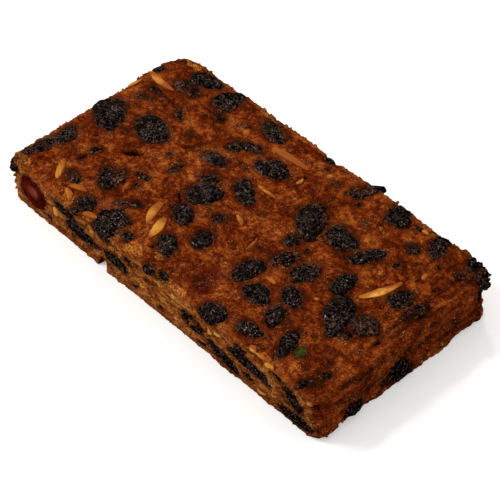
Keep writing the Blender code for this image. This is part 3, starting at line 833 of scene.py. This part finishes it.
MASKS = ("skin", "tin", "foot", "rim", "near", "stain", "nut", "red", "torn", "groove", "deep")
values = {name: [] for name in MASKS}
shaped = []
for vert in crumb.data.vertices:
    x, y, z = vert.co
    level = z / TOP
    top = level > 0.999
    base = level < 0.001
    side_y = abs(y) > HALF_WIDTH - ON_FACE
    left = x < -HALF_LENGTH + ON_FACE
    right = x > HALF_LENGTH - ON_FACE
    # Rounded corners in plan, then the sag and swell of each side.
    for sign_x, sign_y, radius in CORNERS:
        in_x = x * sign_x - (HALF_LENGTH - radius)
        in_y = y * sign_y - (HALF_WIDTH - radius)
        if in_x > 0 and in_y > 0:
            pull = max(in_x, in_y) / math.hypot(in_x, in_y)
            x = sign_x * (HALF_LENGTH - radius + in_x * pull)
            y = sign_y * (HALF_WIDTH - radius + in_y * pull)
    here = Vector((x, y, z)) / MM
    wander = layered(here, (13, 0.7), (4.1, 0.35), (1.7, 0.3))
    clump = noise.cell((here + noise.noise_vector(here / 1.1)) / 1.7) - 0.5
    wander += 0.25 * noise.noise(here / 0.9) + 0.22 * clump
    normal = Vector((0, 0, 0))
    if top:
        normal.z = 1
    if base:
        normal.z = -1
    if side_y:
        normal.y = math.copysign(1, y)
    if left:
        normal.x = -1
    if right:
        normal.x = 1
    normal.normalize()
    rim_y = step(RIM_WIDTH, 0.0, (HALF_WIDTH - abs(y)) / MM)
    rim_left = step(RIM_WIDTH, 0.0, (HALF_LENGTH + x) / MM)
    baked = max(0.0, (x - HALF_LENGTH + BAKED_REACH) / BAKED_REACH)
    if side_y:
        y += math.copysign(wander * MM, y)
    if left:
        x -= wander * MM
    if baked > 0:
        fold = 1.3 * noise.noise(Vector((3, y / MM, 2 * z / MM)) / 11) + 0.35 * noise.noise(here / 2.3)
        fold += 0.4 * noise.noise(here / 1.1)
        x += baked ** 1.5 * (outset(z) + fold * MM)
    # Strata: the batter rose in folds along the tin's wall, so the end is ridged from side to side.
    sway = y / MM + 1.4 * noise.noise(here / 8)
    strata = noise.noise(Vector((x / MM / 1.9, sway / 15, z / MM / 1.6)))
    walled = step(STRATA_START, STRATA_FULL, x / MM + 2.5 * noise.noise(here / 9))
    # The valleys between the folds are darkened with painted shade.
    groove = step(0.02, 0.38, -strata) * walled
    if baked > 0:
        x += STRATA_OUT * strata * walled
    rise = skin_height(x, y)
    if top:
        swell = layered(here, (6.5, 0.40), (2.6, 0.24), (1.2, 0.20))
        end = step(56, 70, x / MM)
        for ridge in END_RIDGES:
            line = ridge + 0.9 * noise.noise(Vector((ridge, y / MM / 9, 0)))
            crest = math.exp(-((x / MM - line) / RIDGE_WIDTH) ** 2)
            swell += RIDGE_HEIGHT * crest * step(54, 62, x / MM)
        swell += STRATA_UP * strata * walled
        swell -= END_SAG * end * end
        swell -= RIM_SAG * max(rim_y, rim_left) * (0.6 + 0.8 * noise.noise(here / 2.0))
        rise += swell * MM
        aside = here + Vector((9, 0, 0))
        pit_x, pit_y = here.x + 0.5 * noise.noise(here / 1.1), here.y + 0.5 * noise.noise(aside / 1.1)
        pit = within(PITS, pit_x, pit_y)
        rise -= step(0.0, 0.5, pit) * PIT_DEPTH * MM
        nut = frayed(SUNK_NUTS, here, 0.9, 1.3)
        torn = frayed(TORN_SKIN, here, 1.4, 1.2)
        red = frayed(SUNK_CHERRIES, here, 1.2, 1.6)
        sunk = within(SUNK_FRUIT, here.x + 0.9 * noise.noise(here / 1.6), here.y)
        rise += NUT_LIFT * MM * step(0.0, 0.8, nut) + FRUIT_LIFT * MM * step(0.0, 0.8, sunk)
        rise += step(0.0, 0.3, torn) * MM * (0.9 * noise.noise(here / 1.2) - 0.2)
    else:
        pit = nut = sunk = red = torn = 0.0
    z = level * rise
    if base:
        bubble = step(0.35, 0.6, noise.noise(here / 3.4))
        z += 0.12 * MM * abs(noise.noise(here / 2.2)) + 0.3 * MM * bubble
    for cx, cy, cz, a, b, c in LOST_CRUMBS:
        off = Vector(((x / MM - cx) / a, (y / MM - cy) / b, (z / MM - cz) / c))
        if off.length < 1:
            if side_y:
                y = (cy - math.copysign(b, y) * math.sqrt(max(0.0, 1 - off.x ** 2 - off.z ** 2))) * MM
            elif right:
                x = (cx - a * math.sqrt(max(0.0, 1 - off.y ** 2 - off.z ** 2))) * MM
            elif base or top:
                z = (cz + (c if base else -c) * math.sqrt(max(0.0, 1 - off.x ** 2 - off.y ** 2))) * MM
    at = Vector((x, y, z)) + SHIFT
    # Where fruit lies close under the surface, the crumb stops short of it, or covers it over
    # where the fruit is buried.
    nearest, facing, face, gap = fruit_surface.find_nearest(at, 4 * MM)
    # Crumb close round a fruit is darkened: partly juice stain, partly painted shade where crumb meets
    # fruit.
    near = 0.0
    if nearest:
        outside = (at - nearest).dot(facing) > 0
        gap = gap / MM if outside else -gap / MM
        near = step(2.2, 0.0, gap) * (0.2 if "almond" in owners[face] else 1.0)
        ragged = 0.5 + 1.1 * noise.noise(here / 1.5) + 0.5 * noise.noise(here / 0.7)
        at -= normal * MM * 0.35 * step(0.5, 0.0, gap) * step(0.35, 0.75, ragged)
    met, facing, face, _ = fruit_surface.ray_cast(at + normal * 3 * MM, -normal, 6 * MM)
    if met and not base:
        stands = (met - at).dot(normal) / MM
        cover = BURIED.get(owners[face], 0.0)
        cover = cover + 0.22 * noise.noise(here / 2.6) + 0.16 * noise.noise(here / 1.0)
        edge = -0.4 + 0.7 * noise.noise(here / 1.4)
        if stands > (edge if top else SHOWS_IN_END if right else SHOWS_IN_CUT):
            if cover < COVERED:
                if stands < 0.3:
                    at = met - normal * 0.3 * MM
            elif stands > -0.15:
                at = met + normal * 0.15 * MM
                near = max(near, 0.7)
    shaped.append(at)
    values["skin"].append(1.0 if top else 0.0)
    values["foot"].append(step(3.2, 0.4, z / MM) if (side_y or left) and not base else 0.0)
    values["tin"].append(1.0 if (base or baked > 0.75 and not top) else 0.0)
    high_side = step(0.82, 1.0, level) if side_y or left else 0.0
    values["rim"].append(max(rim_y, rim_left) if top else high_side)
    values["near"].append(near)
    values["stain"].append(step(0.0, 0.55, sunk))
    values["nut"].append(step(0.0, 0.9, nut))
    values["red"].append(step(0.0, 0.8, red))
    values["torn"].append(step(0.0, 0.35, torn))
    values["groove"].append(groove)
    # A cleft runs across the baked end under the lip of the top; it and the pits are painted near black
    # as shade.
    off_cleft = abs(z / MM - CLEFT_HEIGHT - 0.8 * noise.noise(here / 5))
    cleft = step(1.4, 0.4, off_cleft) * step(-0.15, 0.25, noise.noise(Vector((y / MM, 0, 7)) / 7))
    values["deep"].append(max(step(0.0, 0.4, pit), cleft if right else 0.0))
for vert, at in zip(crumb.data.vertices, shaped):
    vert.co = at
for name, numbers in values.items():
    layer = crumb.data.attributes.new(name, "FLOAT", "POINT")
    layer.data.foreach_set("value", numbers)
crumb.data.shade_smooth()
crumb.data.update()

# Baked treacle batter: a glossy brown skin, mottled where fruit lies under it, over a lighter
# open crumb. The tin side is darker and redder than the crumb, and close grained.
cake_crumb = new_material("treacle cake crumb")
place = add_node(cake_crumb, "TexCoord").outputs["Object"]
masks = {
    name: add_node(cake_crumb, "Attribute", {"attribute_name": name}).outputs["Fac"] for name in MASKS
}
broad = add_node(
    cake_crumb, "TexNoise", {"Scale": 1 / (7 * MM), "Detail": 5.0, "Roughness": 0.6}, Vector=place,
)
mottle = add_node(
    cake_crumb, "TexNoise", {"Scale": 1 / (1.6 * MM), "Detail": 5.0, "Roughness": 0.65}, Vector=place,
)
grit = add_node(cake_crumb, "TexNoise", {"Scale": 1 / (0.42 * MM), "Detail": 3.0}, Vector=place)
speckle = add_node(
    cake_crumb, "TexNoise", {"Scale": 1 / (0.5 * MM), "Detail": 2.0, "Roughness": 0.6}, Vector=place,
)
coarse_blend = add_node(
    cake_crumb, "Math", {"operation": "MULTIPLY_ADD", 1: 0.44}, f_0=mottle,
    f_2=add_node(cake_crumb, "Math", {"operation": "MULTIPLY", 1: 0.34}, f_0=broad),
)
blend = add_node(
    cake_crumb, "Math", {"operation": "MULTIPLY_ADD", 1: 0.22}, f_0=speckle, f_2=coarse_blend,
)
skin_stops = [
    (0.38, "#2C0A00"), (0.45, "#4E1600"), (0.51, "#742800"), (0.57, "#9C4A0C"), (0.64, "#C07634"),
]
skin_tone = add_node(cake_crumb, "ValToRGB", {"stops": skin_stops}, Fac=blend)
# The knife dragged the cut crumb along the slice.
dragged = add_node(cake_crumb, "Mapping", {"Scale": (0.38, 1.0, 1.0)}, Vector=place)
smear = add_node(
    cake_crumb, "TexNoise", {"Scale": 1 / (1.3 * MM), "Detail": 5.0, "Roughness": 0.68}, Vector=dragged,
)
cut_blend = add_node(
    cake_crumb, "Math", {"operation": "MULTIPLY_ADD", 1: 0.55}, f_0=smear,
    f_2=add_node(cake_crumb, "Math", {"operation": "MULTIPLY", 1: 0.45}, f_0=blend),
)
crumb_stops = [
    (0.39, "#3C1200"), (0.46, "#6E320A"), (0.53, "#9A5620"), (0.60, "#BE8244"), (0.67, "#D8A66E"),
]
crumb_tone = add_node(cake_crumb, "ValToRGB", {"stops": crumb_stops}, Fac=cut_blend)
tin_tone = add_node(
    cake_crumb, "ValToRGB",
    {"stops": [(0.38, "#2C0A00"), (0.46, "#541800"), (0.54, "#7C3006"), (0.66, "#A8541C")]}, Fac=blend,
)
# Each mask's edge is frayed by the mottling.
ragged = add_node(cake_crumb, "MapRange", {"To Min": -0.9, "To Max": 0.9}, Value=mottle)
edged = {}
for name in MASKS:
    rough_edge = add_node(cake_crumb, "Math", {"operation": "ADD"}, f_0=masks[name], f_1=ragged)
    edged[name] = add_node(
        cake_crumb, "MapRange", {"From Min": 0.2, "From Max": 0.85, "interpolation_type": "SMOOTHSTEP"},
        Value=rough_edge,
    )
torn_tone = add_node(
    cake_crumb, "ValToRGB", {"stops": [(0.4, "#8A3C08"), (0.52, "#CC7A22"), (0.64, "#F0AC50")]},
    Fac=speckle,
)
tone = crumb_tone
tone = add_node(cake_crumb, "MixRGB", {}, Fac=edged["skin"], Color1=tone, Color2=skin_tone)
tone = add_node(cake_crumb, "MixRGB", {}, Fac=edged["tin"], Color1=tone, Color2=tin_tone)
# Near fruit the crumb is partly stained and partly given painted shade; grooves get painted shade, and
# the pits and the cleft are painted near black as shade.
for name, colour, share in (
    ("foot", "#7A3006", 0.60), ("nut", "#9C4E10", 0.40), ("red", "#5A0600", 0.72),
    ("rim", "#A8561A", 0.36), ("torn", None, 0.58), ("near", "#2E0E04", 0.55),
    ("stain", "#20100A", 0.70), ("groove", "#2C0C02", 0.72), ("deep", "#080302", 0.96),
):
    amount = add_node(cake_crumb, "Math", {"operation": "MULTIPLY", 1: share}, f_0=edged[name])
    if name == "torn":
        tone = add_node(cake_crumb, "MixRGB", {}, Fac=amount, Color1=tone, Color2=torn_tone)
    else:
        tone = add_node(cake_crumb, "MixRGB", {"Color2": linear(colour)}, Fac=amount, Color1=tone)
# Pores of the cut crumb, about 0.9 mm apart, darkened with painted shade.
pores = add_node(cake_crumb, "TexVoronoi", {"Scale": 1 / (0.95 * MM)}, Vector=place)
open_crumb = add_node(
    cake_crumb, "Math", {"operation": "SUBTRACT", "use_clamp": True, 0: 1.0}, f_1=edged["skin"],
)
hole = add_node(
    cake_crumb, "MapRange", {"From Min": 0.12, "From Max": 0.38, "To Min": 1.0, "To Max": 0.0},
    Value=pores,
)
dark_pore = add_node(cake_crumb, "Math", {"operation": "MULTIPLY"}, f_0=hole, f_1=open_crumb)
shadow = add_node(cake_crumb, "Math", {"operation": "MULTIPLY", 1: 0.5}, f_0=dark_pore)
tone = add_node(cake_crumb, "MixRGB", {"Color2": linear("#1E0A04")}, Fac=shadow, Color1=tone)
# Pale specks in drifts over the skin are painted highlights, standing in for glints of light.
drift = add_node(
    cake_crumb, "MapRange", {"From Min": 0.46, "From Max": 0.62, "To Max": 0.6}, Value=broad,
)
grain = add_node(cake_crumb, "MapRange", {"From Min": 0.61, "From Max": 0.65}, Value=grit)
glint_specks = add_node(cake_crumb, "Math", {"operation": "MULTIPLY"}, f_0=drift, f_1=grain)
# Where the skin has wrinkled, short pale threads along the ridges are painted highlights.
ruck = add_node(
    cake_crumb, "TexNoise", {"Scale": 1 / (1.5 * MM), "Detail": 2.0, "Distortion": 1.0}, Vector=place,
)
glint_thread = add_node(
    cake_crumb, "MapRange", {"From Min": 0.0, "From Max": 0.028, "To Min": 1.0, "To Max": 0.0},
    Value=add_node(
        cake_crumb, "Math", {"operation": "ABSOLUTE"},
        f_0=add_node(cake_crumb, "Math", {"operation": "SUBTRACT", 1: 0.46}, f_0=ruck),
    ),
)
glint_dashes = add_node(
    cake_crumb, "MapRange", {"From Min": 0.5, "From Max": 0.58, "To Max": 0.8}, Value=grit,
)
glint_lines = add_node(cake_crumb, "Math", {"operation": "MULTIPLY"}, f_0=glint_thread, f_1=glint_dashes)
painted_glints = add_node(cake_crumb, "Math", {"operation": "MAXIMUM"}, f_0=glint_specks, f_1=glint_lines)
flock = add_node(
    cake_crumb, "TexNoise", {"Scale": 1 / (4.5 * MM), "Detail": 3.0, "Distortion": 0.8}, Vector=place,
)
flocks = add_node(
    cake_crumb, "MapRange", {"From Min": 0.47, "From Max": 0.6, "To Min": 0.05, "To Max": 0.9},
    Value=flock,
)
sparkle = add_node(cake_crumb, "Math", {"operation": "MULTIPLY"}, f_0=painted_glints, f_1=flocks)
tone = add_node(cake_crumb, "MixRGB", {"Color2": linear("#DC9658")}, Fac=sparkle, Color1=tone)
shine = add_node(
    cake_crumb, "MapRange", {"From Min": 0.35, "From Max": 0.65, "To Min": 0.28, "To Max": 0.55},
    Value=mottle,
)
dullness = add_node(
    cake_crumb, "Math", {"operation": "MULTIPLY_ADD", 1: 0.28}, f_0=open_crumb, f_2=shine,
)
# The skin shrank into fine creases as it cooled, and the creases are darkened with painted shade.
crackle = add_node(
    cake_crumb, "TexNoise",
    {"Scale": 1 / (2.6 * MM), "Detail": 3.0, "Roughness": 0.6, "Distortion": 1.4}, Vector=place,
)
crease = add_node(
    cake_crumb, "MapRange", {"From Min": 0.0, "From Max": 0.022, "To Min": 1.0, "To Max": 0.0},
    Value=add_node(
        cake_crumb, "Math", {"operation": "ABSOLUTE"},
        f_0=add_node(cake_crumb, "Math", {"operation": "SUBTRACT", 1: 0.5}, f_0=crackle),
    ),
)
creased = add_node(cake_crumb, "Math", {"operation": "MULTIPLY"}, f_0=crease, f_1=edged["skin"])
shade = add_node(cake_crumb, "Math", {"operation": "MULTIPLY", 1: 0.42}, f_0=creased)
tone = add_node(cake_crumb, "MixRGB", {"Color2": linear("#260A00")}, Fac=shade, Color1=tone)
coarse = add_node(cake_crumb, "Bump", {"Strength": 0.9, "Distance": 0.7 * MM}, Height=mottle)
# The skin is smooth where it is stretched and gritty between.
gritty = add_node(cake_crumb, "Math", {"operation": "MAXIMUM"}, f_0=flocks, f_1=open_crumb)
roughened = add_node(cake_crumb, "MapRange", {"To Min": 0.25, "To Max": 1.0}, Value=gritty)
fine = add_node(
    cake_crumb, "Bump", {"Distance": 0.4 * MM}, Strength=roughened, Height=grit, Normal=coarse,
)
pitted = add_node(
    cake_crumb, "Bump", {"Strength": 0.8, "Distance": 0.5 * MM, "invert": True}, Height=dark_pore,
    Normal=fine,
)
shrunk = add_node(
    cake_crumb, "Bump", {"Strength": 0.8, "Distance": 0.25 * MM, "invert": True}, Height=creased,
    Normal=pitted,
)
# Oil has come to the skin in drifts.
oiled = add_node(
    cake_crumb, "MapRange", {"From Min": 0.46, "From Max": 0.6, "To Min": 0.01, "To Max": 0.12},
    Value=broad,
)
oil = add_node(cake_crumb, "Math", {"operation": "MULTIPLY"}, f_0=oiled, f_1=edged["skin"])
surface = add_node(
    cake_crumb, "BsdfPrincipled", {"IOR": 1.45, "Specular IOR Level": 0.03, "Coat Roughness": 0.16},
    Base_Color=tone, Roughness=dullness, Normal=shrunk, Coat_Weight=oil, Coat_Normal=coarse,
)
add_node(cake_crumb, "OutputMaterial", {}, Surface=surface)
crumb.data.materials.append(cake_crumb)
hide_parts("cake")
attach(crumb, "root")


# ---- Loose crumbs
# Crumbs that the knife and the tin tore up. They cling along the cut rims, on the cut sides and
# round the foot, and break up the slice's outline.

CRUMB_SIZE, CRUMB_ROUGHNESS = 0.62 * MM, 0.9
# How likely a crumb is to cling at each point of the slice's mesh.
LOOSE_AT_FOOT, LOOSE_AT_RIM, LOOSE_ON_CUT, LOOSE_IN_GROOVE = 0.022, 0.05, 0.016, 0.010
SMALLEST, SIZE_RANGE = 0.45, 0.75
TURN, HALF_TURN = 6.28, 3.14

bpy.ops.object.select_all(action="DESELECT")
bpy.ops.mesh.primitive_ico_sphere_add(subdivisions=2, radius=CRUMB_SIZE, location=(0, 0, 0))
seed_crumb = bpy.context.object
for vert in seed_crumb.data.vertices:
    vert.co *= 1 + CRUMB_ROUGHNESS * noise.noise(vert.co / (0.6 * MM))
crumb.data.update()
draw = random.Random(11)
loose = []
for vert in crumb.data.vertices:
    here = {name: numbers[vert.index] for name, numbers in values.items()}
    if here["tin"] > 0.5 and 0.5 * MM < vert.co.z < 3.5 * MM:
        chance = LOOSE_AT_FOOT
    elif here["rim"] > 0.55:
        chance = LOOSE_AT_RIM
    elif here["skin"] < 0.5 and here["tin"] < 0.5:
        chance = LOOSE_ON_CUT
    else:
        chance = LOOSE_IN_GROOVE if here["groove"] > 0.4 else 0.0
    if here["near"] > 0.85 or vert.co.z < 0.5 * MM or draw.random() > chance:
        continue
    size = SMALLEST + SIZE_RANGE * draw.random() ** 2
    turn = Matrix.Rotation(TURN * draw.random(), 4, "Z")
    turn = turn @ Matrix.Rotation(HALF_TURN * draw.random(), 4, "X")
    stretch = Matrix.Diagonal((size, size * (0.6 + 0.5 * draw.random()), size * 0.8, 1))
    grain = bpy.data.objects.new("loose_crumbs", seed_crumb.data.copy())
    grain.data.transform(Matrix.Translation(vert.co + vert.normal * 0.1 * MM) @ turn @ stretch)
    bpy.context.scene.collection.objects.link(grain)
    loose.append(grain)
bpy.data.objects.remove(seed_crumb)
joined(loose, "loose_crumbs")
for vert in loose[0].data.vertices:
    vert.co.z = max(vert.co.z, 0.0)
loose[0].data.materials.append(cake_crumb)
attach(loose[0], "root")


# ---- Stage, light and camera
# A pale, faintly glowing table under a large soft lamp at the left and front and a weaker one at
# the back left, seen from above the near corner.

TABLE_GAP = 0.05 * MM

bpy.ops.object.select_all(action="DESELECT")
bpy.ops.mesh.primitive_plane_add(size=4, location=(0, 0, -TABLE_GAP))
table = bpy.context.object
table.name = "table"
table_paint = new_material("pale matt paint")
surface = add_node(
    table_paint, "BsdfPrincipled",
    {
        "Base Color": linear("#F2F2F0"), "Roughness": 0.9, "Specular IOR Level": 0.1,
        "Emission Color": linear("#FFFFFF"), "Emission Strength": 0.3,
    },
)
add_node(table_paint, "OutputMaterial", {}, Surface=surface)
table.data.materials.append(table_paint)
table.visible_glossy = False


def add_lamp(name, place, size, power, colour):
    lamp_data = bpy.data.lights.new(name, "AREA")
    lamp_data.color = linear(colour)[:3]
    lamp_data.shape = "DISK"
    lamp_data.size = size
    lamp_data.energy = power
    lamp = bpy.data.objects.new(name, lamp_data)
    bpy.context.scene.collection.objects.link(lamp)
    lamp.location = place
    lamp.rotation_euler = (-Vector(place)).to_track_quat("-Z", "Y").to_euler()


add_lamp("key", (-0.62, -0.40, 0.67), 0.30, 4.4, "#FFFDFA")
add_lamp("glint", (-0.50, 0.47, 0.73), 0.12, 1.9, "#FFE0D0")

sky = bpy.data.worlds.new("sky")
sky.use_nodes = True
glow = sky.node_tree.nodes["Background"]
glow.inputs["Color"].default_value = linear("#FFFFFF")
glow.inputs["Strength"].default_value = 0.72
sky.cycles_visibility.glossy = False
bpy.context.scene.world = sky
bpy.context.scene.view_settings.view_transform = "Standard"

# The camera looks at a point on the table near the slice's middle.
AZIMUTH, ELEVATION, DISTANCE = math.radians(46.64), math.radians(46.42), 599.75 * MM
aim = Vector((1.80 * MM, 1.28 * MM, 0)) + SHIFT
outwards = math.cos(ELEVATION)
towards = Vector((math.sin(AZIMUTH) * outwards, -math.cos(AZIMUTH) * outwards, math.sin(ELEVATION)))
camera_data = bpy.data.cameras.new("camera")
camera_data.sensor_width = 36
camera_data.lens = 135.65
camera_data.clip_start = 0.01
camera = bpy.data.objects.new("camera", camera_data)
bpy.context.scene.collection.objects.link(camera)
camera.location = aim + towards * DISTANCE
camera.rotation_euler = towards.to_track_quat("Z", "Y").to_euler()
bpy.context.scene.camera = camera
